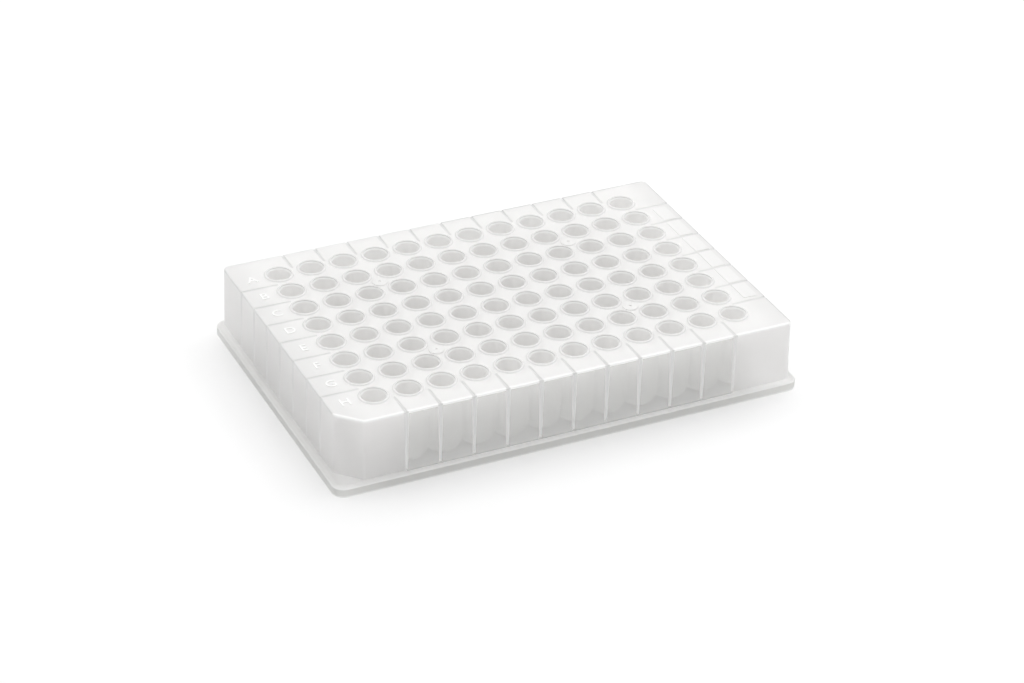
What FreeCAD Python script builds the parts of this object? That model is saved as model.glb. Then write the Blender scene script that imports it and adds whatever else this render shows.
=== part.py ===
import FreeCAD, Part
import os
import re

import Sketcher
from FreeCAD import Vector

# A 96-well storage plate, moulded in one shot from polypropylene. Millimetres, +Z up. The origin is at the
# middle of the face that the plate stands on, +X runs along a row of wells from column 1 to column 12, and +Y
# runs from row H back to row A. The outside is one thin shell: a foot with an upright lip, a ledge that
# slopes in to the wall, a drafted wall and a deck, with the corner by well H1 cut off. The wells hang from
# the deck as 96 separate thin tubes with conical bottoms, which stop just above the table.

# A size that starts with = is worked out from the ones above it.
SIZES = {
    # the grid of wells
    "well_pitch": 9.0,
    "columns": 12,
    "rows": 8,
    # the deck, whose edges keep a margin from the middles of the outer wells, and the wall
    "end_margin": 12.0,
    "side_margin": 9.5,
    "deck_length": "=(columns - 1) * well_pitch + 2 * end_margin",
    "deck_width": "=(rows - 1) * well_pitch + 2 * side_margin",
    "deck_height": 19.5,
    "wall_draft": 1.0,
    "wall_corner": 1.6,
    "corner_cut": 5.6,
    "deck_edge_round": 0.5,
    "shell_thickness": 1.1,
    # the foot, which stands out past the deck to the footprint that plate readers and stackers expect
    "end_overhang": 2.38,
    "side_overhang": 1.74,
    "footprint_length": "=deck_length + 2 * end_overhang",
    "footprint_width": "=deck_width + 2 * side_overhang",
    "footprint_corner": 3.18,
    "lip_height": 2.35,
    "ledge_rise": 0.6,
    "ledge_run": 1.3,
    # the wells
    "bore_diameter": 6.5,
    "tube_wall": 0.7,
    "cone_angle": 100.0,
    "tip_clearance": 0.8,
    # narrow channels across the deck's margin and down the wall, one in line with each gap between two wells
    "channel_width": 1.0,
    "deck_channel_depth": 0.35,
    "wall_channel_depth": 0.3,
    "channel_to_row": 2.4,
    "channel_to_foot": 0.4,
    # a blank raised strip between column 12 and the edge of the deck
    "strip_width": 3.9,
    "strip_rise": 0.3,
    "strip_to_edge": 1.7,
    "strip_past_channels": 1.5,
    # four gate pads, each a low round boss with the dimple of its gate in the middle
    "gate_pad_diameter": 4.0,
    "gate_pad_rise": 0.3,
    "gate_dimple_diameter": 0.8,
    "gate_dimple_depth": 0.25,
    "gates_apart_in_columns": 6,
    "gates_apart_in_rows": 4,
}

# places that several features share
FOOT_TOP = "(lip_height + ledge_rise)"
DECK_UNDERSIDE = "(deck_height - shell_thickness)"
BOTH_WALLS = "2 * shell_thickness"
FIRST_COLUMN = "(-(columns - 1) / 2 * well_pitch)"
FIRST_ROW = "((rows - 1) / 2 * well_pitch)"
HALF_CONE = "(cone_angle / 2 * 1 deg)"

ADDS, CUTS = 1, -1
UP, DOWN, BOTH_WAYS = 1, -1, 0
TOUCH = 1e-4


def sized(text):
    """An expression with each size's name pointed at its cell in the sheet."""
    return re.sub(r"[a-z]\w+", lambda word: f"Dimensions.{word[0]}" if word[0] in SIZES else word[0], text)


def fill_sheet(doc):
    """A spreadsheet of the sizes, each cell with its size's name as its alias."""
    sheet = doc.addObject("Spreadsheet::Sheet", "Dimensions")
    for row, (name, value) in enumerate(SIZES.items(), 1):
        sheet.set(f"A{row}", name)
        sheet.set(f"B{row}", str(value))
        sheet.setAlias(f"B{row}", name)
    doc.recompute()


def value_of(body, text):
    """What an expression comes to now, as a plain number."""
    result = body.evalExpression(sized(text))
    return float(getattr(result, "Value", result))


def origin_feature(body, role):
    """One of the body's own base planes or axes."""
    return next(feature for feature in body.Origin.OriginFeatures if feature.Role == role)


def settled(body, feature, change=None):
    """The feature as the body's tip, recomputed. Stops if it took away what it should add, or added."""
    before = feature.BaseFeature.Shape.Volume if feature.BaseFeature else 0.0
    body.Tip = feature
    body.Document.recompute()
    after = feature.Shape.Volume
    print(f"{feature.Name}: {after / 1000:.3f} cm3")
    if change and (after - before) * change <= 0:
        raise RuntimeError(f"{feature.Name} changed the volume from {before:.3f} to {after:.3f}")
    return feature


# ---- sketches

def new_sketch(body, name, plane="XY_Plane", **offsets):
    """A sketch on one of the body's base planes, its origin moved by the x, y and z expressions given."""
    sketch = body.newObject("Sketcher::SketchObject", name)
    sketch.AttachmentSupport = [(origin_feature(body, plane), "")]
    sketch.MapMode = "FlatFace"
    for axis, text in offsets.items():
        sketch.setExpression(f".AttachmentOffset.Base.{axis}", sized(text))
    return sketch


def draw_polygon(body, sketch, corners):
    """A closed outline. Each corner is two expressions, x and y, where "0" pins it to the sketch's axis."""
    first = sketch.GeometryCount
    last = first + len(corners) - 1
    points = [Vector(value_of(body, x), value_of(body, y), 0) for x, y in corners]
    for start, end in zip(points, points[1:] + points[:1]):
        sketch.addGeometry(Part.LineSegment(start, end), False)
    for line, (corner, point) in enumerate(zip(corners, points), first):
        before = last if line == first else line - 1
        sketch.addConstraint(Sketcher.Constraint("Coincident", before, 2, line, 1))
        for kind, axis, text, number in zip(("DistanceX", "DistanceY"), (-2, -1), corner, point):
            if text == "0":
                sketch.addConstraint(Sketcher.Constraint("PointOnObject", line, 1, axis))
            else:
                place = sketch.addConstraint(Sketcher.Constraint(kind, -1, 1, line, 1, number))
                sketch.setExpression(f"Constraints[{place}]", sized(text))


def draw_rectangle(body, sketch, left, right, front, back):
    """A rectangle between four lines, each given as an expression."""
    draw_polygon(body, sketch, [(left, front), (right, front), (right, back), (left, back)])


def draw_outline(body, sketch, length, width, corner_cut=None):
    """A rectangle round the sketch's origin, its corner by well H1 cut off where a size for that is given."""
    left, right, front, back = f"-({length}) / 2", f"({length}) / 2", f"-({width}) / 2", f"({width}) / 2"
    by_h1 = [(left, front)]
    if corner_cut:
        by_h1 = [(left, f"{front} + {corner_cut}"), (f"{left} + {corner_cut}", front)]
    draw_polygon(body, sketch, by_h1 + [(right, front), (right, back), (left, back)])


def draw_circle(body, sketch, diameter):
    """A circle round the sketch's origin."""
    size = value_of(body, diameter)
    sketch.addGeometry(Part.Circle(Vector(0, 0, 0), Vector(0, 0, 1), size / 2), False)
    sketch.addConstraint(Sketcher.Constraint("Coincident", 0, 3, -1, 1))
    place = sketch.addConstraint(Sketcher.Constraint("Diameter", 0, size))
    sketch.setExpression(f"Constraints[{place}]", sized(diameter))


# ---- features

def swept(body, kind, name, sketch, length, direction):
    """A Pad or a Pocket of a sketch: UP or DOWN from a level one, BOTH_WAYS from an upright one."""
    feature = body.newObject(f"PartDesign::{kind}", name)
    feature.Profile = sketch
    adds = kind == "Pad"
    feature.Midplane = direction == BOTH_WAYS
    feature.Reversed = direction == (DOWN if adds else UP)
    feature.setExpression("Length", sized(length))
    return settled(body, feature, ADDS if adds else CUTS)


def turned(body, kind, name, sketch):
    """A Revolution or a Groove of a sketch, once round the sketch's upright axis."""
    feature = body.newObject(f"PartDesign::{kind}", name)
    feature.Profile = sketch
    feature.ReferenceAxis = (sketch, ["V_Axis"])
    feature.Angle = 360
    return settled(body, feature, ADDS if kind == "Revolution" else CUTS)


def dressed(body, kind, name, wanted, **sizes):
    """A Fillet or a Chamfer of the wanted edges of the body as it stands."""
    base = body.Tip
    edges = [f"Edge{number}" for number, edge in enumerate(base.Shape.Edges, 1) if wanted(edge)]
    feature = body.newObject(f"PartDesign::{kind}", name)
    feature.Base = (base, edges)
    if "Size2" in sizes:
        feature.ChamferType = "Two distances"
    for key, text in sizes.items():
        feature.setExpression(key, sized(text))
    return settled(body, feature)


def drafted(body, name, wanted, change):
    """The wanted faces leaned out towards the foot by the wall's draft. They keep their place at the deck."""
    base = body.Tip
    deck = value_of(body, "deck_height")
    numbered = [(f"Face{number}", face) for number, face in enumerate(base.Shape.Faces, 1)]
    feature = body.newObject("PartDesign::Draft", name)
    feature.Base = (base, [label for label, face in numbered if wanted(face)])
    feature.NeutralPlane = (base, [next(label for label, face in numbered if level_at(face, deck))])
    feature.Reversed = change == CUTS
    feature.setExpression("Angle", sized("wall_draft"))
    return settled(body, feature, change)


def repeated(body, name, originals, columns="1", rows="1", column_step="well_pitch", row_step="well_pitch"):
    """Copies of features in a grid that runs along +X and along -Y."""
    pattern = body.newObject("PartDesign::LinearPattern", name)
    pattern.Originals = originals
    pattern.Direction = (origin_feature(body, "X_Axis"), [""])
    pattern.Direction2 = (origin_feature(body, "Y_Axis"), [""])
    pattern.Reversed2 = True
    pattern.setExpression("Occurrences", sized(columns))
    pattern.setExpression("Occurrences2", sized(rows))
    pattern.setExpression("Length", sized(f"({columns} - 1) * {column_step}"))
    pattern.setExpression("Length2", sized(f"({rows} - 1) * {row_step}"))
    return settled(body, pattern)


# ---- which edges and faces a feature works on

def climbs(edge):
    """Whether an edge runs from one height to another, as an upright corner does."""
    return abs(edge.Vertexes[0].Z - edge.Vertexes[-1].Z) > TOUCH


def level_at(item, height):
    """Whether an edge or a face lies flat at a height."""
    return all(abs(vertex.Z - height) < TOUCH for vertex in item.Vertexes)


def by_well_h1(edge):
    """Whether an edge belongs to the corner of row H and column 1."""
    return edge.CenterOfMass.x < 0 and edge.CenterOfMass.y < 0


def on_outline(body, length, width):
    """A test of whether an edge keeps to the sides of a rectangle round the origin."""
    end, side = value_of(body, f"({length}) / 2"), value_of(body, f"({width}) / 2")
    on_it = lambda vertex: abs(abs(vertex.X) - end) < TOUCH or abs(abs(vertex.Y) - side) < TOUCH
    return lambda edge: all(on_it(vertex) for vertex in edge.Vertexes)


def stands(face):
    """Whether a flat face stands upright."""
    return abs(face.normalAt(0, 0).z) < TOUCH


# ---- the plate

def build_wall(body):
    """The outside of the wall and the deck: a block that widens by the draft on the way down."""
    sketch = new_sketch(body, "DeckOutline", z="deck_height")
    draw_outline(body, sketch, "deck_length", "deck_width", "corner_cut")
    swept(body, "Pad", "Wall", sketch, "deck_height", DOWN)
    drafted(body, "WallDraft", stands, ADDS)
    corner = lambda edge: climbs(edge) and not by_well_h1(edge)
    dressed(body, "Fillet", "WallCorners", corner, Radius="wall_corner")
    deck = value_of(body, "deck_height")
    dressed(body, "Fillet", "DeckEdge", lambda edge: level_at(edge, deck), Radius="deck_edge_round")


def build_foot(body):
    """The foot round the wall, with round corners and its top edge cut down to the sloped ledge."""
    sketch = new_sketch(body, "FootOutline")
    draw_outline(body, sketch, "footprint_length", "footprint_width")
    swept(body, "Pad", "Foot", sketch, FOOT_TOP, UP)
    outer = on_outline(body, "footprint_length", "footprint_width")
    corner = lambda edge: climbs(edge) and outer(edge)
    dressed(body, "Fillet", "FootCorners", corner, Radius="footprint_corner")
    top = value_of(body, FOOT_TOP)
    ledge = lambda edge: level_at(edge, top) and outer(edge)
    dressed(body, "Chamfer", "Ledge", ledge, Size="ledge_rise", Size2="ledge_run")


def build_hollow(body):
    """The inside, open below: it leaves the shell's thickness at the wall, the deck and the foot."""
    narrow = new_sketch(body, "HollowOutline")
    corner_cut = "(corner_cut - (2 - sqrt(2)) * shell_thickness)"
    draw_outline(body, narrow, f"deck_length - {BOTH_WALLS}", f"deck_width - {BOTH_WALLS}", corner_cut)
    swept(body, "Pocket", "Hollow", narrow, DECK_UNDERSIDE, UP)
    ceiling = value_of(body, DECK_UNDERSIDE)
    reaches_ceiling = lambda item: any(abs(vertex.Z - ceiling) < TOUCH for vertex in item.Vertexes)
    drafted(body, "HollowDraft", lambda face: stands(face) and reaches_ceiling(face), CUTS)
    corner = lambda edge: climbs(edge) and reaches_ceiling(edge) and not by_well_h1(edge)
    dressed(body, "Fillet", "HollowCorners", corner, Radius="wall_corner - shell_thickness")
    wide = new_sketch(body, "FootHollowOutline")
    length, width = f"footprint_length - {BOTH_WALLS}", f"footprint_width - {BOTH_WALLS}"
    draw_outline(body, wide, length, width)
    swept(body, "Pocket", "FootHollow", wide, f"{FOOT_TOP} - shell_thickness", UP)
    inner = on_outline(body, length, width)
    corner = lambda edge: climbs(edge) and inner(edge)
    dressed(body, "Fillet", "FootHollowCorners", corner, Radius="footprint_corner - shell_thickness")


def draw_channels(body, sketch, deck_half, foot_half, row_limit):
    """The side view of a pair of channels, one at each end: in across the deck and down along the wall."""
    slope = "tan(wall_draft * 1 deg)"
    bed = "deck_height - deck_channel_depth"
    stop = f"{FOOT_TOP} + channel_to_foot"
    clear = "deck_height + deck_channel_depth"
    back = f"{deck_half} - wall_channel_depth"
    for side in ("", "-"):
        draw_polygon(body, sketch, [
            (f"{side}({row_limit} + channel_to_row)", clear),
            (f"{side}({row_limit} + channel_to_row)", bed),
            (f"{side}({back} + deck_channel_depth * {slope})", bed),
            (f"{side}({back} + (deck_height - ({stop})) * {slope})", stop),
            (f"{side}({foot_half})", stop),
            (f"{side}({foot_half})", clear),
        ])


def build_channels(body):
    """The channels, in line with the gaps between columns, front and back, and between rows at the ends."""
    across = new_sketch(body, "ColumnChannelProfile", "YZ_Plane", z=f"{FIRST_COLUMN} + well_pitch / 2")
    draw_channels(body, across, "deck_width / 2", "footprint_width / 2", FIRST_ROW)
    first = swept(body, "Pocket", "ColumnChannel", across, "channel_width", BOTH_WAYS)
    repeated(body, "ColumnChannels", [first], columns="columns - 1")
    along = new_sketch(body, "RowChannelProfile", "XZ_Plane", z=f"-({FIRST_ROW} - well_pitch / 2)")
    draw_channels(body, along, "deck_length / 2", "footprint_length / 2", f"-{FIRST_COLUMN}")
    first = swept(body, "Pocket", "RowChannel", along, "channel_width", BOTH_WAYS)
    repeated(body, "RowChannels", [first], rows="rows - 1")


def build_strip(body):
    """The blank strip beside the last column, which fills the channels that it crosses."""
    sketch = new_sketch(body, "StripOutline", z="deck_height - deck_channel_depth")
    edge = "deck_length / 2 - strip_to_edge"
    half = f"({FIRST_ROW} - well_pitch / 2 - strip_past_channels)"
    draw_rectangle(body, sketch, f"{edge} - strip_width", edge, f"-{half}", half)
    swept(body, "Pad", "Strip", sketch, "deck_channel_depth + strip_rise", UP)


def build_gate_pads(body):
    """The gate pads, each in the middle of four wells."""
    columns, rows = "gates_apart_in_columns * well_pitch", "gates_apart_in_rows * well_pitch"
    corner = {"x": f"-({columns}) / 2", "y": f"({rows}) / 2"}
    pad = new_sketch(body, "GatePadOutline", z="deck_height", **corner)
    draw_circle(body, pad, "gate_pad_diameter")
    first = swept(body, "Pad", "GatePad", pad, "gate_pad_rise", UP)
    repeated(body, "GatePads", [first], "2", "2", columns, rows)
    dimple = new_sketch(body, "GateDimpleOutline", z="deck_height + gate_pad_rise", **corner)
    draw_circle(body, dimple, "gate_dimple_diameter")
    first = swept(body, "Pocket", "GateDimple", dimple, "gate_dimple_depth", DOWN)
    repeated(body, "GateDimples", [first], "2", "2", columns, rows)


def draw_well(body, sketch, radius, tip, top):
    """Half of a well's section: a cone from its tip up to the radius, then straight up to the top."""
    shoulder = f"{tip} + {radius} / tan({HALF_CONE})"
    draw_polygon(body, sketch, [("0", tip), (radius, shoulder), (radius, top), ("0", top)])


def build_wells(body):
    """The grid of wells: a tube that hangs from the deck and the bore that opens it, both repeated."""
    first_well = {"x": FIRST_COLUMN, "z": f"-{FIRST_ROW}"}
    bore_radius = "(bore_diameter / 2)"
    tube = new_sketch(body, "TubeProfile", "XZ_Plane", **first_well)
    root = "deck_height - shell_thickness / 2"
    draw_well(body, tube, f"({bore_radius} + tube_wall)", "tip_clearance", root)
    first = turned(body, "Revolution", "Tube", tube)
    repeated(body, "Tubes", [first], "columns", "rows")
    bore = new_sketch(body, "BoreProfile", "XZ_Plane", **first_well)
    draw_well(body, bore, bore_radius, f"(tip_clearance + tube_wall / sin({HALF_CONE}))", "deck_height")
    first = turned(body, "Groove", "Bore", bore)
    repeated(body, "Bores", [first], "columns", "rows")


def check(doc, bodies):
    """Stops if any feature failed, or if a body isn't one valid solid."""
    failed = [item.Name for item in doc.Objects if {"Invalid", "Error"} & set(item.State)]
    if failed:
        raise RuntimeError(f"failed: {', '.join(failed)}")
    for body in bodies:
        shape = body.Shape
        if shape.isNull() or not shape.isValid() or len(shape.Solids) != 1:
            raise RuntimeError(f"{body.Label} isn't one valid solid")


def main():
    doc = FreeCAD.newDocument("WellPlate")
    fill_sheet(doc)
    plate = doc.addObject("PartDesign::Body", "Plate")
    plate.Label = "plate"
    plate.Placement = FreeCAD.Placement()
    build_wall(plate)
    build_foot(plate)
    build_hollow(plate)
    build_channels(plate)
    build_strip(plate)
    build_gate_pads(plate)
    build_wells(plate)
    check(doc, [plate])
    os.makedirs("parts", exist_ok=True)
    plate.Shape.exportStep(f"parts/{plate.Label}.step")


main()
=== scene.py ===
# %% [markdown]
# # A 96-well storage plate in natural polypropylene
# The plate is one injection moulding, so it is one piece here too. Its outside is a thin drafted shell on
# a foot with a lip, and 96 deep wells hang from its deck. The rigid frame already holds that shape in a
# plain form for the physics. This lesson models it again with the soft edges, rims and letters that light
# needs, and gives it a milky material that lets light through.

# %% Load the frame
from math import cos, pi, radians, sin, sqrt, tan

import bmesh
import bpy
from mathutils import Matrix, Vector


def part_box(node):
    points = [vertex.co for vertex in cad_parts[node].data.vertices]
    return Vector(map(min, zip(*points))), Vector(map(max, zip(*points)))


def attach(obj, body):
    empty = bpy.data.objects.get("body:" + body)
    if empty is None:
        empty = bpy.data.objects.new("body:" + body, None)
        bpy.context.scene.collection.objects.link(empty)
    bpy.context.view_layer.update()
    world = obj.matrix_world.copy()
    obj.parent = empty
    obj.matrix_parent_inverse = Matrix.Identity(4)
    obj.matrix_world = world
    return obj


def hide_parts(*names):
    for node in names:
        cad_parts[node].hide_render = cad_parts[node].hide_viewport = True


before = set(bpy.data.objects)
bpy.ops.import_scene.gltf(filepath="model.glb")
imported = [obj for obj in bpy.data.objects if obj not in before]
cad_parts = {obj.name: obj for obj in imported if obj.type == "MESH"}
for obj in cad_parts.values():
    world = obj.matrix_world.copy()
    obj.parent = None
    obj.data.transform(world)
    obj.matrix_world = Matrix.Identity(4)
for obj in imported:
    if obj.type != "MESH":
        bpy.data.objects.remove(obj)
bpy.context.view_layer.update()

LOW, HIGH = (Vector(corner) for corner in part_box("plate"))
print("the frame's plate runs from", LOW[:], "to", HIGH[:])

# %% [markdown]
# ## Sizes
# Blender works in metres and the moulder's drawing in millimetres, so each size is written in millimetres
# and multiplied once. The footprint comes from the frame. The grid's pitch of 9 mm is what every plate of
# this kind has, and the middle of the grid is the middle of the plate.

# %% Sizes of the outside
MM = 0.001
FOOT_LENGTH, FOOT_WIDTH = HIGH.x - LOW.x, HIGH.y - LOW.y
FOOT_CORNER = 3.18 * MM
LIP_HEIGHT, LEDGE_RISE, LEDGE_RUN = 2.35 * MM, 0.6 * MM, 1.3 * MM
DECK_LENGTH, DECK_WIDTH, DECK_HEIGHT = 123 * MM, 82 * MM, 19.5 * MM
DRAFT = radians(1)
WALL_CORNER, CORNER_CUT = 1.6 * MM, 5.6 * MM
SHELL = 1.1 * MM
print(f"foot {FOOT_LENGTH / MM:.2f} x {FOOT_WIDTH / MM:.2f} mm")
print(f"deck {DECK_LENGTH / MM:.0f} x {DECK_WIDTH / MM:.0f} mm")

# %% Places of the wells and of the gaps between them
PITCH, COLUMNS, ROWS = 9 * MM, 12, 8
COLUMN_X = [(column - (COLUMNS - 1) / 2) * PITCH for column in range(COLUMNS)]
ROW_Y = [((ROWS - 1) / 2 - row) * PITCH for row in range(ROWS)]
WELLS = [(x, y) for y in ROW_Y for x in COLUMN_X]
GAP_X = [(a + b) / 2 for a, b in zip(COLUMN_X, COLUMN_X[1:])]
GAP_Y = [(a + b) / 2 for a, b in zip(ROW_Y, ROW_Y[1:])]
print(f"{len(WELLS)} wells, A1 at {COLUMN_X[0] / MM}, {ROW_Y[0] / MM} mm")

# %% [markdown]
# ## Small tools
# An operator acts on all that is selected, so every step starts by deselecting everything. In edit mode
# the parts of a mesh are picked by where they lie, which holds up when a size changes, as a picked number
# would not.

# %% Tools for objects
def only(obj):
    """Makes one object the only selected and active one."""
    bpy.ops.object.select_all(action="DESELECT")
    obj.select_set(True)
    bpy.context.view_layer.objects.active = obj
    return obj


def newest(name):
    """The object that an operator has just made, named."""
    obj = bpy.context.active_object
    obj.name = name
    if obj.data:
        obj.data.name = name
    return obj


def place_in_mesh(obj):
    """Moves an object's place, turn and scale into its mesh."""
    only(obj)
    bpy.ops.object.transform_apply(location=True, rotation=True, scale=True)
    return obj


print("object tools ready")

# %% A tool for edit mode
class Editing:
    """Edit mode on one object, with a way to select its vertices, edges or faces by a test."""

    MODES = {"verts": "VERT", "edges": "EDGE", "faces": "FACE"}

    def __init__(self, obj):
        self.obj = only(obj)

    def __enter__(self):
        bpy.ops.object.mode_set(mode="EDIT")
        return self

    def __exit__(self, *_):
        bpy.ops.object.mode_set(mode="OBJECT")

    def pick(self, kind, test):
        """Selects only the verts, edges or faces that pass the test."""
        bpy.ops.mesh.select_mode(type=self.MODES[kind])
        bpy.ops.mesh.select_all(action="DESELECT")
        mesh = bmesh.from_edit_mesh(self.obj.data)
        mesh.normal_update()
        for item in [item for item in getattr(mesh, kind) if test(item)]:
            item.select_set(True)
        mesh.select_flush_mode()
        bmesh.update_edit_mesh(self.obj.data)


print("edit tool ready")

# %% Tests that tell edges apart
NEAR, SAME_LEVEL = 0.1 * MM, 0.001 * MM


def middle(edge):
    """The middle of an edge."""
    return (edge.verts[0].co + edge.verts[1].co) / 2


def climbs(edge):
    """Whether an edge goes from one height to another."""
    return abs(edge.verts[0].co.z - edge.verts[1].co.z) > NEAR


def level(edge, height):
    """Whether an edge lies flat at a height."""
    return all(abs(vert.co.z - height) < SAME_LEVEL for vert in edge.verts)


def by_h1(edge):
    """Whether an edge belongs to the cut corner, by well H1."""
    return middle(edge).x < 0 and middle(edge).y < 0


print("edge tests ready")

# %% Two plain solids to start from
def block(name, length, width, low, high, centre=(0, 0)):
    """A box from one height to another."""
    bpy.ops.mesh.primitive_cube_add(size=1, location=(*centre, (low + high) / 2))
    obj = newest(name)
    obj.scale = (length, width, high - low)
    return place_in_mesh(obj)


def disc(name, radius, low, high, steps=40):
    """An upright round bar on the Z axis."""
    bpy.ops.mesh.primitive_cylinder_add(
        vertices=steps, radius=radius, depth=high - low, location=(0, 0, (low + high) / 2))
    return place_in_mesh(newest(name))


def bevel(offset, segments):
    """Rounds the edges that are selected."""
    bpy.ops.mesh.bevel(offset=offset, segments=segments, affect="EDGES")


print("block and disc ready")

# %% [markdown]
# ## The wall and the deck
# The outside is a box that widens by one degree on its way down, so that it leaves its mould. The corner
# by well H1 is cut off, which is how a person or a robot knows which way round the plate lies. A bisect
# plane makes that cut, leaned by the same degree as the wall, and bevels round the corners. The hollow
# below is the same form a little smaller, so one function makes both. The deck's own edge is nearly sharp,
# and takes a bevel of a third of a millimetre.

# %% The wall's form
def drafted_block(name, inset, low, top, corner_radius):
    """The wall's own form, drawn in by an inset: a box with leaning sides and one cut corner."""
    length, width = DECK_LENGTH - 2 * inset, DECK_WIDTH - 2 * inset
    leg = CORNER_CUT - (2 - sqrt(2)) * inset
    obj = block(name, length, width, low, top)
    with Editing(obj) as edit:
        for height in (low, top):
            spread = 2 * (DECK_HEIGHT - height) * tan(DRAFT)
            edit.pick("verts", lambda vert: abs(vert.co.z - height) < NEAR)
            bpy.ops.transform.resize(value=(1 + spread / length, 1 + spread / width, 1))
        bpy.ops.mesh.select_all(action="SELECT")
        bpy.ops.mesh.bisect(
            plane_co=(-length / 2 + leg, -width / 2, DECK_HEIGHT),
            plane_no=(-cos(DRAFT) / sqrt(2), -cos(DRAFT) / sqrt(2), sin(DRAFT)),
            use_fill=True, clear_outer=True)
        edit.pick("edges", lambda edge: climbs(edge) and not by_h1(edge))
        bevel(corner_radius, 6)
        edit.pick("edges", lambda edge: climbs(edge) and by_h1(edge))
        bevel(corner_radius / 3, 3)
    return obj


print("wall form ready")

# %% Model the outer block
WALL_START, DECK_EDGE = 0.5 * MM, 0.32 * MM
plate = drafted_block("plate_moulding", 0, WALL_START, DECK_HEIGHT, WALL_CORNER)
with Editing(plate) as edit:
    edit.pick("edges", lambda edge: level(edge, DECK_HEIGHT))
    bevel(DECK_EDGE, 3)
print(f"outer block: {len(plate.data.polygons)} faces")

# %% [markdown]
# ## The foot
# Plate readers grip the foot, so its outline is the one that all plates share, with round corners. Above
# its upright lip the ledge slopes in to the wall: an inset that rises makes both at once. A fine bevel
# rounds the lip's edges, and the material paints thin highlight lines along them.

# %% Model the foot
LIP_ROUND = 0.18 * MM
foot = block("foot", FOOT_LENGTH, FOOT_WIDTH, 0, LIP_HEIGHT)
with Editing(foot) as edit:
    edit.pick("edges", climbs)
    bevel(FOOT_CORNER, 10)
    edit.pick("faces", lambda face: face.normal.z > 0.9)
    bpy.ops.mesh.inset(thickness=LEDGE_RUN, depth=LEDGE_RISE)
    edit.pick("edges", lambda edge: level(edge, LIP_HEIGHT) or level(edge, 0))
    bevel(LIP_ROUND, 3)
print(f"foot: {len(foot.data.polygons)} faces")

# %% [markdown]
# ## Adding and cutting solids
# The Boolean modifier adds or cuts whole solids, as steel in the mould does. Copies that don't touch each
# other can be joined into one object first, so that a grid of 96 costs one cut and not 96.

# %% A tool to add and cut
def combine(target, tool, operation):
    """Adds a solid to the target or cuts it away, then removes the tool."""
    only(target)
    bpy.ops.object.modifier_add(type="BOOLEAN")
    boolean = target.modifiers[-1]
    boolean.operation, boolean.object, boolean.solver = operation, tool, "MANIFOLD"
    bpy.ops.object.modifier_apply(modifier=boolean.name)
    bpy.data.objects.remove(tool, do_unlink=True)
    print(f"{operation.lower()}: {len(target.data.polygons)} faces")


combine(plate, foot, "UNION")

# %% A tool to copy along a grid
def copies(obj, places):
    """Copies of an object at places, each with its own mesh, joined into one object."""
    made = []
    for place in places:
        twin = obj.copy()
        twin.data = obj.data.copy()
        twin.location = obj.location + Vector((*place, 0))
        bpy.context.collection.objects.link(twin)
        made.append(twin)
    bpy.data.objects.remove(obj, do_unlink=True)
    only(made[0])
    for twin in made:
        twin.select_set(True)
    bpy.ops.object.join()
    return place_in_mesh(made[0])


print("copy tool ready")

# %% [markdown]
# ## The hollow
# From below, the plate is open. The hollow is the wall's own form drawn in by the shell's thickness, and a
# wider, shallow box makes the foot a thin lip as well. Both start below the table, so that no skin is left
# at the opening.

# %% Hollow the plate
BELOW = -1 * MM
hollow = drafted_block("hollow", SHELL, BELOW, DECK_HEIGHT - SHELL, WALL_CORNER - SHELL)
combine(plate, hollow, "DIFFERENCE")
inside_ledge = LIP_HEIGHT + LEDGE_RISE - SHELL
foot_hollow = block("foot_hollow", FOOT_LENGTH - 2 * SHELL, FOOT_WIDTH - 2 * SHELL, BELOW, inside_ledge)
with Editing(foot_hollow) as edit:
    edit.pick("edges", climbs)
    bevel(FOOT_CORNER - SHELL, 8)
combine(plate, foot_hollow, "DIFFERENCE")

# %% [markdown]
# ## Strip and gate pads
# Beside the last column lies a low blank strip, where a maker may put its own mark. Four low round pads
# show where the plastic entered the mould, and the dimple in each keeps the gate's stub below the surface.
# Each of them starts a little below the deck, so that the union has something to hold on to.

# %% Add the strip
STRIP_WIDTH, STRIP_RISE, STRIP_SUNK = 3.9 * MM, 0.18 * MM, 0.5 * MM
STRIP_TO_EDGE, STRIP_TO_GAP = 1.7 * MM, 1.5 * MM
STRIP_CORNER, STRIP_ROUND = 0.4 * MM, 0.1 * MM
strip_x, strip_top = DECK_LENGTH / 2 - STRIP_TO_EDGE - STRIP_WIDTH / 2, DECK_HEIGHT + STRIP_RISE
strip_length = 2 * (GAP_Y[0] - STRIP_TO_GAP)
strip = block("strip", STRIP_WIDTH, strip_length, DECK_HEIGHT - STRIP_SUNK, strip_top, (strip_x, 0))
with Editing(strip) as edit:
    edit.pick("edges", climbs)
    bevel(STRIP_CORNER, 4)
    edit.pick("edges", lambda edge: level(edge, strip_top))
    bevel(STRIP_ROUND, 2)
combine(plate, strip, "UNION")

# %% Add the gate pads
GATES = [(x, y) for x in (-27 * MM, 27 * MM) for y in (-18 * MM, 18 * MM)]
PAD_RADIUS, PAD_SUNK, PAD_ROUND = 2.0 * MM, 0.2 * MM, 0.12 * MM
PAD_TOP, DIMPLE_RADIUS, DIMPLE_BOTTOM = DECK_HEIGHT + 0.3 * MM, 0.4 * MM, DECK_HEIGHT + 0.05 * MM
pad = disc("gate_pads", PAD_RADIUS, DECK_HEIGHT - PAD_SUNK, PAD_TOP)
with Editing(pad) as edit:
    edit.pick("edges", lambda edge: level(edge, PAD_TOP))
    bevel(PAD_ROUND, 3)
combine(plate, copies(pad, GATES), "UNION")
dimple = disc("dimples", DIMPLE_RADIUS, DIMPLE_BOTTOM, DECK_HEIGHT + 1 * MM, 20)
combine(plate, copies(dimple, GATES), "DIFFERENCE")

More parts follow.
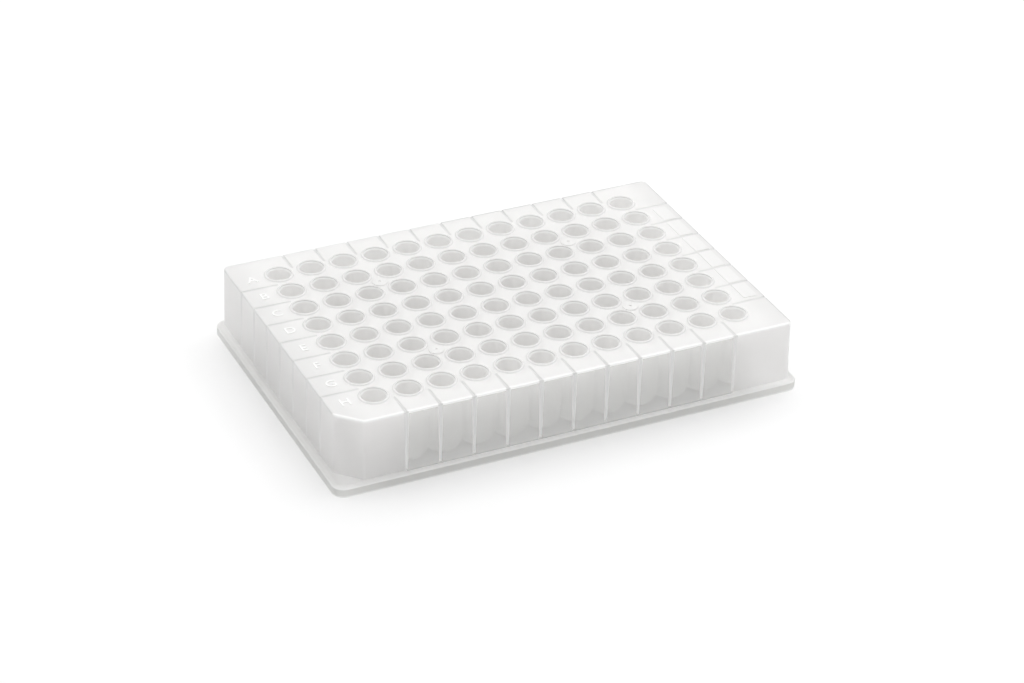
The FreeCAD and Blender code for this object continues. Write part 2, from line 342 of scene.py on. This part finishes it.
# %% [markdown]
# ## The channels
# In line with each gap between two wells, a narrow round-bottomed channel runs over the deck's margin and
# down the wall, where it gets finer until it dies out above the foot. On the right it also crosses the
# strip. Its cutter is made of two round bars: one lies along the deck, with a rounded nose between the
# wells, and the other is tapered and leans with the wall. One pair is modelled for each side and copied
# along.

# %% The size of a round cutter
def round_groove(width, depth):
    """The radius of the round bar that cuts such a groove, and how far its axis lies off the surface."""
    radius = (width ** 2 / 4 + depth ** 2) / (2 * depth)
    return radius, radius - depth


DECK_BAR, DECK_BAR_OFF = round_groove(1.0 * MM, 0.27 * MM)
POST_TOP, POST_TOP_OFF = round_groove(1.2 * MM, 0.32 * MM)
POST_END, POST_END_OFF = round_groove(0.5 * MM, 0.13 * MM)
print(f"radii of the cutters: {DECK_BAR / MM:.2f}, {POST_TOP / MM:.2f} and {POST_END / MM:.2f} mm")

# %% The cutter's bar along the deck
CUTTER_STEPS, NOSE_ROUND, NOSE_LENGTH, NOSE_RAISED = 20, 0.4 * MM, 1 * MM, 0.14 * MM


def deck_bar(inner, outer):
    """A round bar along X on the deck, with its inner end rounded and raised a little."""
    bpy.ops.mesh.primitive_cylinder_add(
        vertices=CUTTER_STEPS, radius=DECK_BAR, depth=outer - inner, rotation=(0, pi / 2, 0),
        location=((inner + outer) / 2, 0, DECK_HEIGHT + DECK_BAR_OFF))
    bar = place_in_mesh(newest("channel_bar"))
    with Editing(bar) as edit:
        edit.pick("edges", lambda edge: all(abs(vert.co.x - inner) < 0.01 * MM for vert in edge.verts))
        bevel(NOSE_ROUND, 3)
        edit.pick("verts", lambda vert: vert.co.x < inner + NOSE_LENGTH)
        bpy.ops.transform.translate(value=(0, 0, NOSE_RAISED))
    return bar


print("deck bar ready")

# %% The whole cutter of one channel
CHANNEL_END, PAST_WALL = LIP_HEIGHT + LEDGE_RISE + 0.4 * MM, 3 * MM


def channel_cutter(deck_half, inner):
    """The cutter of one channel along +X, from a distance off the middle to past the wall."""
    bar = deck_bar(inner, deck_half + PAST_WALL)
    top = DECK_HEIGHT + POST_TOP_OFF
    bpy.ops.mesh.primitive_cone_add(
        vertices=CUTTER_STEPS, radius1=POST_END, radius2=POST_TOP, depth=top - CHANNEL_END,
        location=(deck_half + POST_TOP_OFF, 0, (top + CHANNEL_END) / 2))
    post = place_in_mesh(newest("channel_post"))
    lean = (DECK_HEIGHT - CHANNEL_END) * tan(DRAFT) + POST_END_OFF - POST_TOP_OFF
    with Editing(post) as edit:
        edit.pick("verts", lambda vert: vert.co.z < DECK_HEIGHT / 2)
        bpy.ops.transform.translate(value=(lean, 0, 0))
    combine(bar, post, "UNION")
    return bar


print("channel cutter ready")

# %% Cut the channels on all four sides
PAST_WELLS = 1.9 * MM


def turned(obj, angle):
    """Turns an object about the upright axis through the origin, mesh and all."""
    only(obj)
    obj.rotation_euler.z = angle
    return place_in_mesh(obj)


for angle in (0, pi):
    cutter = turned(channel_cutter(DECK_LENGTH / 2, COLUMN_X[-1] + PAST_WELLS), angle)
    combine(plate, copies(cutter, [(0, y) for y in GAP_Y]), "DIFFERENCE")
for angle in (pi / 2, -pi / 2):
    cutter = turned(channel_cutter(DECK_WIDTH / 2, ROW_Y[0] + PAST_WELLS), angle)
    combine(plate, copies(cutter, [(x, 0) for x in GAP_X]), "DIFFERENCE")

# %% [markdown]
# ## The wells
# Each well is a square body with round corners and a rounded underside, which hangs from the deck and
# meets its neighbours. In it is a round bore with a round bottom, and round its mouth stands a soft rim.
# What is round is turned: an operator spins half of its section about the upright axis. The bodies are
# seen only from below or through the wall, so they need few steps round. The rims and the bores are what
# the eye rests on, so they get more.

# %% Spin a section
BODY_STEPS, MOUTH_STEPS = 28, 40
SEAM = 0.002 * MM


def spun(name, section, steps):
    """A closed turned solid. Its section of (radius, height) points starts and ends on the axis."""
    mesh = bpy.data.meshes.new(name)
    points = [(radius, 0, height) for radius, height in section]
    mesh.from_pydata(points, [(n, n + 1) for n in range(len(points) - 1)], [])
    obj = bpy.data.objects.new(name, mesh)
    bpy.context.collection.objects.link(obj)
    with Editing(obj):
        bpy.ops.mesh.select_all(action="SELECT")
        bpy.ops.mesh.spin(steps=steps, angle=2 * pi, center=(0, 0, 0), axis=(0, 0, 1), use_auto_merge=True)
        bpy.ops.mesh.select_all(action="SELECT")
        bpy.ops.mesh.remove_doubles(threshold=SEAM)
        bpy.ops.mesh.normals_make_consistent(inside=False)
    return obj


def arc(centre, radius, start, end, steps):
    """Points round a centre, from one angle to another in degrees."""
    angles = [radians(start + (end - start) * n / steps) for n in range(steps + 1)]
    return [(centre[0] + radius * cos(angle), centre[1] + radius * sin(angle)) for angle in angles]


print("spin ready")

# %% [markdown]
# The body is a square bar that a turned dish rounds off below: what both share is kept. A tool for a
# Boolean must not cross itself, and neighbouring bodies overlap, so they are added as on a chessboard,
# first the white fields and then the black.

# %% Add the well bodies
CELL_HALF, CELL_CORNER, CELL_TIP = 4.55 * MM, 3.0 * MM, 0.15 * MM
DISH_RADIUS, DISH_DEPTH, DISH_TOP, DISH_POWER = CELL_HALF * 1.17, 5.4 * MM, 30 * MM, 1.15
SUNK = DECK_HEIGHT - SHELL / 2


def cell():
    """The body of one well: a square bar with round corners, shaped below by a turned dish."""
    bar = block("cells", 2 * CELL_HALF, 2 * CELL_HALF, BELOW, SUNK)
    with Editing(bar) as edit:
        edit.pick("edges", climbs)
        bevel(CELL_CORNER, 6)
    turns = [radians(15 * n) for n in range(7)]
    dish = [(DISH_RADIUS * sin(turn), CELL_TIP + DISH_DEPTH * (1 - cos(turn)) ** DISH_POWER)
            for turn in turns]
    combine(bar, spun("dish", dish + [(DISH_RADIUS, DISH_TOP), (0, DISH_TOP)], BODY_STEPS), "INTERSECT")
    return bar


for parity in (0, 1):
    fields = [(x, y) for x, y in WELLS if round((x + y) / PITCH) % 2 == parity]
    combine(plate, copies(cell(), fields), "UNION")

# %% [markdown]
# The rim's section goes out in a small fillet where it meets the deck and over a round crown, so that
# light slides over it without a hard line.

# %% Add the rims
RIM_RISE, RIM_RADIUS = 0.45 * MM, 3.8 * MM
CROWN, FILLET = 0.3 * MM, 0.25 * MM
rim_top = DECK_HEIGHT + RIM_RISE
foot_of_rim = arc((RIM_RADIUS + CROWN, DECK_HEIGHT + FILLET), FILLET, -90, -160, 2)
crown = arc((RIM_RADIUS - CROWN, rim_top - CROWN), CROWN, 0, 90, 3)
underneath = [(0, SUNK), (RIM_RADIUS + CROWN, SUNK)]
rim = spun("rims", underneath + foot_of_rim + crown + [(0, rim_top)], MOUTH_STEPS)
combine(plate, copies(rim, WELLS), "UNION")

# %% [markdown]
# Just inside the mouth a short upright wall ends on a sloping step, which leads a pipette tip into the
# narrower bore. The step is painted white as a highlight, which draws the thin light crescent at the far
# side of every well, and the short wall above it is painted grey as shade.

# %% Cut the bores
BORE_RADIUS, MOUTH_RADIUS, MOUTH_ROUND, FLOOR = 3.02 * MM, 3.3 * MM, 0.12 * MM, 1.2 * MM
step_low, step_high = rim_top - 0.62 * MM, rim_top - 0.32 * MM
over = rim_top + 1 * MM
bottom = arc((0, CELL_TIP + FLOOR + BORE_RADIUS), BORE_RADIUS, -90, 0, 5)
mouth = [(BORE_RADIUS, step_low), (MOUTH_RADIUS, step_high)]
mouth += arc((MOUTH_RADIUS + MOUTH_ROUND, rim_top - MOUTH_ROUND), MOUTH_ROUND, 180, 90, 2)
bore = spun("bores", bottom + mouth + [(MOUTH_RADIUS + MOUTH_ROUND, over), (0, over)], MOUTH_STEPS)
combine(plate, copies(bore, WELLS), "DIFFERENCE")

# %% [markdown]
# ## The row letters
# The letters A to H name the rows. They stand a little proud of the deck, left of column 1. A text object
# becomes a mesh, its doubles are merged so that it is closed, and it is sunk into the deck a little.

# %% Add the letters
LETTER_X, LETTER_SIZE, LETTER_BOLD = -56.9 * MM, 4.1 * MM, 0.03 * MM
LETTER_SUNK, LETTER_HALF = 0.1 * MM, 0.27 * MM
LETTER_SEAM = 0.001 * MM


def letter(character, x, y):
    """One raised letter, centred at a place on the deck."""
    bpy.ops.object.text_add(location=(x, y, DECK_HEIGHT - LETTER_SUNK))
    text = newest(f"letter_{character}")
    text.data.body, text.data.size, text.data.extrude = character, LETTER_SIZE, LETTER_HALF
    text.data.offset, text.data.resolution_u = LETTER_BOLD, 4
    text.data.align_x, text.data.align_y = "CENTER", "CENTER"
    only(text)
    bpy.ops.object.convert(target="MESH")
    place_in_mesh(text)
    with Editing(text):
        bpy.ops.mesh.select_all(action="SELECT")
        bpy.ops.mesh.remove_doubles(threshold=LETTER_SEAM)
        bpy.ops.mesh.normals_make_consistent(inside=False)
    return text


for character, y in zip("ABCDEFGH", ROW_Y):
    combine(plate, letter(character, LETTER_X, y), "UNION")

# %% [markdown]
# ## Shading
# Faces that meet at a small angle share a smooth normal, and sharper edges stay crisp. Weighted normals
# keep the big flat faces flat where a small bevel runs into them.

# %% Smooth the moulding
only(plate)
bpy.ops.object.shade_smooth_by_angle(angle=radians(35))
bpy.ops.object.modifier_add(type="WEIGHTED_NORMAL")
plate.modifiers[-1].keep_sharp = True
bpy.ops.object.modifier_apply(modifier=plate.modifiers[-1].name)
print(f"{len(plate.data.polygons)} faces smoothed")

# %% Measure the moulding and tie it to the frame
mesh = bmesh.new()
mesh.from_mesh(plate.data)
triangles = sum(len(face.verts) - 2 for face in mesh.faces)
open_edges = sum(1 for edge in mesh.edges if not edge.is_manifold)
print(f"moulding: {triangles} triangles, {open_edges} open edges, {mesh.calc_volume() * 1e6:.1f} cm3")
mesh.free()
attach(plate, "root")
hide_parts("plate")

# %% [markdown]
# ## A small language for shader nodes
# A material is a graph of nodes. Sums are easier to read when they look like sums, so a value that flows
# between nodes gets Python's own operators, also with the plain number on the left. A test gives 1 where
# it holds and 0 elsewhere, so two tests multiplied hold where both do. One method makes any other node,
# its settings before its inputs, because a setting can change which inputs there are.

# %% Operators for node values
class Flow:
    """A value between nodes, which takes part in sums and tests as a number does."""

    def __init__(self, graph, socket):
        self.graph, self.socket = graph, socket

    def __add__(self, other):
        return self.graph.maths("ADD", self, other)

    def __sub__(self, other):
        return self.graph.maths("SUBTRACT", self, other)

    def __rsub__(self, other):
        return self.graph.maths("SUBTRACT", other, self)

    def __mul__(self, other):
        return self.graph.maths("MULTIPLY", self, other)

    def __gt__(self, other):
        return self.graph.maths("GREATER_THAN", self, other)

    def __lt__(self, other):
        return self.graph.maths("LESS_THAN", self, other)

    def __abs__(self):
        return self.graph.maths("ABSOLUTE", self)

    def __or__(self, other):
        return self.graph.maths("MAXIMUM", self, other)

    def __invert__(self):
        return 1 - self

    __radd__, __rmul__, __and__ = __add__, __mul__, __mul__


print("node operators ready")

# %% A graph that makes nodes
class Graph:
    """A material under construction."""

    def __init__(self, name):
        self.material = bpy.data.materials.new(name)
        self.material.use_nodes = True
        self.tree = self.material.node_tree
        self.tree.nodes.clear()

    def node(self, kind, feeds=None, **settings):
        """Any node: its settings, then what feeds its inputs, by name or place."""
        made = self.tree.nodes.new(f"ShaderNode{kind}")
        for name, value in settings.items():
            setattr(made, name, value)
        for key, value in (feeds or {}).items():
            if isinstance(value, Flow):
                self.tree.links.new(value.socket, made.inputs[key])
            else:
                made.inputs[key].default_value = value
        return made

    def out(self, kind, output, feeds=None, **settings):
        """One output of a new node, as a flow."""
        return Flow(self, self.node(kind, feeds, **settings).outputs[output])

    def maths(self, operation, first, second=None):
        """A sum or a test of two values, or of one."""
        feeds = {0: first} if second is None else {0: first, 1: second}
        return self.out("Math", 0, feeds, operation=operation)

    def ramp(self, value, low, high):
        """0 below one value and 1 above another, with a soft step between."""
        return self.out("MapRange", 0, {0: value, 1: low, 2: high}, interpolation_type="SMOOTHSTEP")

    def blend(self, share, first, second):
        """A colour between two, by a share."""
        return self.out("Mix", 2, {0: share, 6: (*first, 1), 7: (*second, 1)}, data_type="RGBA")

    def choose(self, zone, inside, elsewhere):
        """One shader inside a zone and another elsewhere."""
        return self.out("MixShader", 0, {0: zone, 1: elsewhere, 2: inside})

    def finish(self, surface):
        """Joins the surface to the output and gives the material."""
        self.node("OutputMaterial", {"Surface": surface})
        return self.material


print("graph ready")

# %% [markdown]
# ## Natural polypropylene
# Without pigment the plastic is milky: part of the light scatters back white, part shines through the wall
# and glows on its other side, and part passes almost straight, so that the well bodies show softly through
# the wall. The moulding isn't alike all over: the deck is cloudy, the thin drawn wall is clear and the well
# bodies are white against it. Light and shade are also painted into some finishes: the channels in the wall
# are painted pale as a highlight, the edges, letters and the step in each mouth white and the rims a little
# lighter as highlights, and the deck's ends, its channel floors, the upper wall, the foot's lip and the
# bores darker as shade. Zones say where each finish lies. They follow the plate's own sizes, on coordinates
# that move with the plate, and reach a little past each shape, so that no facet falls between two zones.

# %% Start the material
graph = Graph("natural_polypropylene")
place = graph.out("TexCoord", "Object")
split = graph.node("SeparateXYZ", {0: place})
x, y, z = (Flow(graph, socket) for socket in split.outputs)
HALF_LENGTH, HALF_WIDTH = DECK_LENGTH / 2, DECK_WIDTH / 2
CUT_LINE = CORNER_CUT - HALF_LENGTH - HALF_WIDTH
print(f"the cut corner lies where x + y is less than {CUT_LINE / MM:.1f} mm")

# %% Zones of the deck and the wall
DECK_SKIN, BAND_X, BAND_Y, BAND_CUT = 0.55 * MM, 2.9 * MM, 2.2 * MM, 5 * MM
MARGIN_FROM, MARGIN_FULL, WALL_LOW, WALL_HIGH = 9 * MM, 2 * MM, 4 * MM, 16 * MM
STRIP_ABOVE, STRIP_REACH = 0.08 * MM, 0.5 * MM
on_deck = z > DECK_HEIGHT - DECK_SKIN
by_side = (abs(x) > HALF_LENGTH - BAND_X) | (abs(y) > HALF_WIDTH - BAND_Y) | (x + y < CUT_LINE + BAND_CUT)
on_wall = by_side & ~on_deck
at_ends = abs(x) > GAP_X[-1]
margin = graph.ramp(abs(x), HALF_LENGTH - MARGIN_FROM, HALF_LENGTH - MARGIN_FULL)
height = graph.ramp(z, WALL_LOW, WALL_HIGH)
on_strip = (z > DECK_HEIGHT + STRIP_ABOVE) & (x > strip_x - STRIP_WIDTH / 2 - STRIP_REACH)
on_letters = (z > DECK_HEIGHT + NEAR) & (x < COLUMN_X[0] - PITCH / 2)
print(f"{len(graph.tree.nodes)} nodes so far")

# %% Zones of the foot
LEDGE_FROM, LINE_BELOW, LINE_ABOVE, BASE_LINE = 0.05 * MM, 0.12 * MM, 0.22 * MM, 0.5 * MM
outside = (abs(x) > HALF_LENGTH - NEAR) | (abs(y) > HALF_WIDTH - NEAR)
on_foot = outside & (z < LIP_HEIGHT + LEDGE_RISE - NEAR)
on_ledge = z > LIP_HEIGHT + LEDGE_FROM
by_lip_edge = (z > LIP_HEIGHT - LINE_BELOW) & (z < LIP_HEIGHT + LINE_ABOVE)
lip_highlight_lines = on_foot & (by_lip_edge | (z < BASE_LINE))
print(f"{len(graph.tree.nodes)} nodes so far")

# %% [markdown]
# The channels lie midway between wells. A ping-pong node folds the long axis into half a pitch, so one
# test finds them all. They get narrower down the wall, and the test does too.

# %% Zones of the channels
GROOVE_FOOT, GROOVE_WIDENS, GROOVE_DEEP, GROOVE_FROM = 0.3 * MM, 0.0185, 0.6 * MM, 0.2 * MM
BED_FROM, BED_BELOW, BED_TO_END = 1.5 * MM, 0.03 * MM, 0.5 * MM


def near_gap(along, gap, half):
    """Whether a place is within a distance of one of the lines that run midway between wells."""
    return graph.maths("PINGPONG", along - gap, PITCH / 2) < half


groove_half = z * GROOVE_WIDENS + GROOVE_FOOT
front_back = near_gap(x, GAP_X[0], groove_half) & (abs(x) < GAP_X[-1] + PITCH / 4)
ends = near_gap(y, GAP_Y[0], groove_half) & (abs(y) < GAP_Y[0] + PITCH / 4)
in_wall = ((abs(y) > HALF_WIDTH - GROOVE_DEEP) & front_back) | ((abs(x) > HALF_LENGTH - GROOVE_DEEP) & ends)
in_groove = in_wall & ~on_deck & (z > LIP_HEIGHT + LEDGE_RISE + GROOVE_FROM)
in_margin = ((abs(y) > ROW_Y[0] + BED_FROM) & front_back) | ((abs(x) > COLUMN_X[-1] + BED_FROM) & ends)
in_bed = in_margin & on_deck & (z < DECK_HEIGHT - BED_BELOW) & (x < HALF_LENGTH - BED_TO_END)
print(f"{len(graph.tree.nodes)} nodes so far")

# %% [markdown]
# The same fold in both directions gives the distance from the nearest well's axis, and with it the rim,
# the sloping step in the mouth and the bore.

# %% Zones round each well
RIM_REACH, ROUND_REACH, STEP_REACH = 0.1 * MM, 0.03 * MM, 0.01 * MM
off_x = graph.maths("PINGPONG", x - COLUMN_X[0], PITCH / 2)
off_y = graph.maths("PINGPONG", y - ROW_Y[0], PITCH / 2)
from_well = graph.maths("SQRT", off_x * off_x + off_y * off_y)
in_grid = (abs(x) < COLUMN_X[-1] + PITCH / 2) & (abs(y) < ROW_Y[0] + PITCH / 2)
on_rims = in_grid & (from_well < RIM_RADIUS + RIM_REACH)
in_mouth = in_grid & on_deck & (from_well < MOUTH_RADIUS + ROUND_REACH) & (z > step_low)
on_step = in_mouth & (z < step_high + STEP_REACH)
in_bore = in_grid & (from_well < BORE_RADIUS + ROUND_REACH) & (z < step_low + STEP_REACH)
print(f"{len(graph.tree.nodes)} nodes so far")

# %% [markdown]
# Along the front and the cut corner the deck's edge is painted white as a highlight line, since it faces
# the room. Along the other sides it is painted as a thin grey line of shade, where the eye looks over the
# edge into thicker plastic.

# %% Zones of the deck's edges
EDGE_HIGHLIGHT_WIDTH, GREY_EDGE_X, GREY_EDGE_Y = 0.65 * MM, 0.5 * MM, 0.6 * MM
front_edge = (y < EDGE_HIGHLIGHT_WIDTH - HALF_WIDTH) | (x + y < CUT_LINE + EDGE_HIGHLIGHT_WIDTH * sqrt(2))
shaded_edge = (abs(x) > HALF_LENGTH - GREY_EDGE_X) | (y > HALF_WIDTH - GREY_EDGE_Y)
print(f"{len(graph.tree.nodes)} nodes place the zones")

# %% [markdown]
# The melt leaves traces as it cools: cloudy patches some millimetres wide, and a skin that is never quite
# smooth. Two noises give them, a slow one for colour and sheen and a fine one for a bump.

# %% Noises of the melt
cloud = graph.out("TexNoise", "Fac", {"Vector": place, "Scale": 140.0, "Detail": 3.0, "Roughness": 0.55})
grain = graph.out("TexNoise", "Fac", {"Vector": place, "Scale": 2600.0, "Detail": 2.0})
skin = graph.out("Bump", "Normal", {"Height": grain, "Strength": 0.06, "Distance": 0.02 * MM})
print("two noises ready")

# %% [markdown]
# A finish is a mix of three kinds of light. The main shader scatters part of it back in its shade, and
# lets the clear part through, bent and blurred by its roughness. A translucent share glows with the light
# from behind. A clear part with little blur shows what lies behind it in detail, and a milky one hides it,
# so the wall and the milky parts are kept well apart.

# %% How a finish is made
PATCH_SHADE, PATCH_ROUGHNESS = 0.96, 0.03


def milky(shade, clearness, roughness, glow):
    """One finish: its shade, the share of it that is clear, its roughness and the share that glows."""
    tint = graph.blend(cloud, [part * PATCH_SHADE for part in shade], shade)
    body = graph.out("BsdfPrincipled", 0, {
        "Base Color": tint, "Roughness": cloud * (2 * PATCH_ROUGHNESS) + (roughness - PATCH_ROUGHNESS),
        "IOR": 1.49, "Transmission Weight": clearness, "Normal": skin})
    through = graph.out("BsdfTranslucent", 0, {"Color": (*shade, 1)})
    return graph.choose(glow, through, body)


print("finish maker ready")

# %% Finishes of the deck
deck_middle = milky((0.905, 0.901, 0.894), 0.2, 0.33, 0.15)
# painted shade: the deck towards both ends is darker than in its middle
deck_margin_shade = milky((0.855, 0.851, 0.845), 0.2, 0.33, 0.15)
strip_face = milky((0.905, 0.902, 0.897), 0.2, 0.33, 0.15)
# painted shade: the floor of the channels on the deck is darker, as shade in a recess
channel_bed_shade = milky((0.78, 0.78, 0.775), 0.4, 0.4, 0.1)
# painted highlight: the front edge, the cut corner's edge and the letters are nearly white
edge_highlight = milky((0.98, 0.98, 0.975), 0.0, 0.3, 0.12)
# painted shade: thin grey lines along the deck's ends and back edge, darker on the right half
left_edge_shade = milky((0.82, 0.82, 0.815), 0.2, 0.33, 0.1)
far_edge_shade = milky((0.66, 0.66, 0.655), 0.2, 0.33, 0.1)
print(f"{len(graph.tree.nodes)} nodes so far")

# %% Finishes of the wall and the foot
# painted shade: the upper wall is a little darker than its lower part
wall_top_shade = milky((0.97, 0.97, 0.965), 0.87, 0.22, 0.13)
wall_base = milky((1, 1, 0.995), 0.885, 0.15, 0.12)
# painted shade: the wall beyond the last channels at both ends is a little darker
end_panel_shade = milky((0.975, 0.97, 0.967), 0.74, 0.33, 0.2)
# painted highlight: the channels in the wall are pale, less so towards the top
groove_top_highlight = milky((0.88, 0.88, 0.88), 0.2, 0.4, 0.42)
groove_base_highlight = milky((1, 1, 1), 0.2, 0.4, 0.45)
ledge = milky((1, 1, 0.99), 0.6, 0.33, 0.2)
# painted shade: the lip is darker than the wall above it
lip = milky((0.84, 0.84, 0.825), 0.72, 0.33, 0.15)
# painted highlight: thin white lines along the lip's top and bottom edges
lip_edge_highlight = milky((1, 1, 0.995), 0.0, 0.2, 0.45)
print(f"{len(graph.tree.nodes)} nodes so far")

# %% Finishes of the wells
well_body = milky((1, 1, 0.995), 0.1, 0.35, 0.65)
# painted shade: the bores are a little darker than the well bodies
bore_skin_shade = milky((0.97, 0.965, 0.96), 0.2, 0.35, 0.55)
# painted highlight: the raised rims are a little lighter than the deck round them
rim_skin_highlight = milky((0.955, 0.95, 0.945), 0.2, 0.15, 0.2)
# painted shade: the short wall inside each mouth is grey
mouth_wall_shade = milky((0.8, 0.8, 0.79), 0.3, 0.33, 0.2)
# painted highlight: the sloping step inside each mouth is white
mouth_step_highlight = milky((1, 1, 0.995), 0.0, 0.15, 0.35)
print(f"{len(graph.tree.nodes)} nodes so far")

# %% [markdown]
# The finishes are laid over each other as coats would be, the widest zone first. Each line says where the
# next finish hides what is there already.

# %% Lay out the deck's top
deck = graph.choose(margin, deck_margin_shade, deck_middle)
deck = graph.choose(on_strip, strip_face, deck)
deck = graph.choose(on_rims, rim_skin_highlight, deck)
deck = graph.choose(in_mouth, graph.choose(on_step, mouth_step_highlight, mouth_wall_shade), deck)
deck = graph.choose(in_bed, channel_bed_shade, deck)
deck = graph.choose(shaded_edge, graph.choose(x < 0, left_edge_shade, far_edge_shade), deck)
deck = graph.choose((front_edge & ~in_bed) | on_letters, edge_highlight, deck)
print(f"{len(graph.tree.nodes)} nodes so far")

# %% Lay out the whole moulding
wall = graph.choose(at_ends, end_panel_shade, graph.choose(height, wall_top_shade, wall_base))
surface = graph.choose(on_wall, wall, well_body)
surface = graph.choose(in_groove, graph.choose(height, groove_top_highlight, groove_base_highlight), surface)
surface = graph.choose(on_foot, graph.choose(on_ledge, ledge, lip), surface)
surface = graph.choose(lip_highlight_lines, lip_edge_highlight, surface)
surface = graph.choose(on_deck, deck, surface)
surface = graph.choose(in_bore, bore_skin_shade, surface)
print(f"{len(graph.tree.nodes)} nodes so far")

# %% [markdown]
# A lamp's light would stop at the first clear surface, because a renderer doesn't follow the bent ray back
# to the lamp. So a share of it passes straight on, which fills the inside and softens the plate's shadow.

# %% Let lamp light in
DECK_PASSES, WALL_PASSES, INSIDE_PASSES, FOOT_PASSES_MORE = 0.8, 0.93, 0.48, 0.05
lamp_ray = graph.out("LightPath", "Is Shadow Ray")
inside = 1 - (on_deck | on_wall)
passes = on_deck * DECK_PASSES + on_wall * WALL_PASSES + inside * INSIDE_PASSES + on_foot * FOOT_PASSES_MORE
surface = graph.choose(lamp_ray & passes, graph.out("BsdfTransparent", 0), surface)
plate.data.materials.clear()
plate.data.materials.append(graph.finish(surface))
print(f"natural polypropylene: {len(graph.tree.nodes)} nodes")

# %% [markdown]
# ## Floor, lamps and camera
# The plate stands on a white table that runs on into a white room. A wide soft lamp hangs behind it to the
# right, so that its deck is the brightest part and its front wall lies in the lamp's shade, where the well
# bodies show through. A weak lamp low at the front keeps that shade from going dull, and two small ones
# put sparks on the rims.

# %% Floor
bpy.ops.object.select_all(action="DESELECT")
bpy.ops.mesh.primitive_plane_add(size=6, location=(0, 0, 0))
floor = newest("floor")
table = Graph("white_table")
mottle = table.out("TexNoise", "Fac", {"Vector": table.out("TexCoord", "Object"), "Scale": 30.0})
white = table.blend(mottle, (0.89, 0.89, 0.89), (0.9, 0.9, 0.9))
matt = table.out("BsdfPrincipled", 0, {"Base Color": white, "Roughness": 1.0, "Specular IOR Level": 0.0})
floor.data.materials.append(table.finish(matt))
print("floor:", floor.dimensions[:])

# %% Room
ROOM_STRENGTH = 0.77
room = bpy.data.worlds.new("white_room")
bpy.context.scene.world = room
room.use_nodes = True
sky = room.node_tree.nodes["Background"]
sky.inputs["Color"].default_value, sky.inputs["Strength"].default_value = (1, 1, 1, 1), ROOM_STRENGTH
print("room of strength", ROOM_STRENGTH)

# %% Lamps
def soft_lamp(name, at, size, power):
    """A round soft lamp that faces the plate."""
    bpy.ops.object.light_add(type="AREA", location=at)
    lamp = newest(name)
    lamp.data.shape, lamp.data.size, lamp.data.energy = "DISK", size, power
    lamp.rotation_euler = lamp.location.to_track_quat("Z", "Y").to_euler()
    return lamp


lamps = [
    soft_lamp("overhead_lamp", (0.3, 0.4, 1.1), 1.5, 6.8),
    soft_lamp("right_spark", (0.75, 0.06, 0.93), 0.09, 0.9),
    soft_lamp("front_fill", (0.5, -0.95, 0.35), 0.8, 0.6),
    soft_lamp("rear_spark", (-0.4, 0.62, 0.93), 0.09, 0.7),
]
print("lamps:", [lamp.name for lamp in lamps])

# %% [markdown]
# The camera is placed by the point that it looks at, by the side that it looks from and by how far off it
# stands. A long lens keeps the plate's edges nearly parallel.

# %% Camera
TARGET, DISTANCE = Vector((-7.946, -21.572, 19.46)) * MM, 724.09 * MM
AZIMUTH, ELEVATION, ROLL = radians(-25.952), radians(31.491), radians(1.6)
SENSOR, LENS = 36, 102.1
back = Vector((sin(AZIMUTH) * cos(ELEVATION), -cos(AZIMUTH) * cos(ELEVATION), sin(ELEVATION)))
bpy.ops.object.camera_add(location=TARGET + back * DISTANCE)
camera = newest("camera")
facing = back.to_track_quat("Z", "Y").to_matrix() @ Matrix.Rotation(ROLL, 3, "Z")
camera.rotation_euler = facing.to_euler()
camera.data.sensor_width, camera.data.lens = SENSOR, LENS
bpy.context.scene.camera = camera
bpy.context.scene.view_settings.view_transform = "Standard"
print(f"camera at {[round(part, 3) for part in camera.location]} m, lens {LENS} mm")
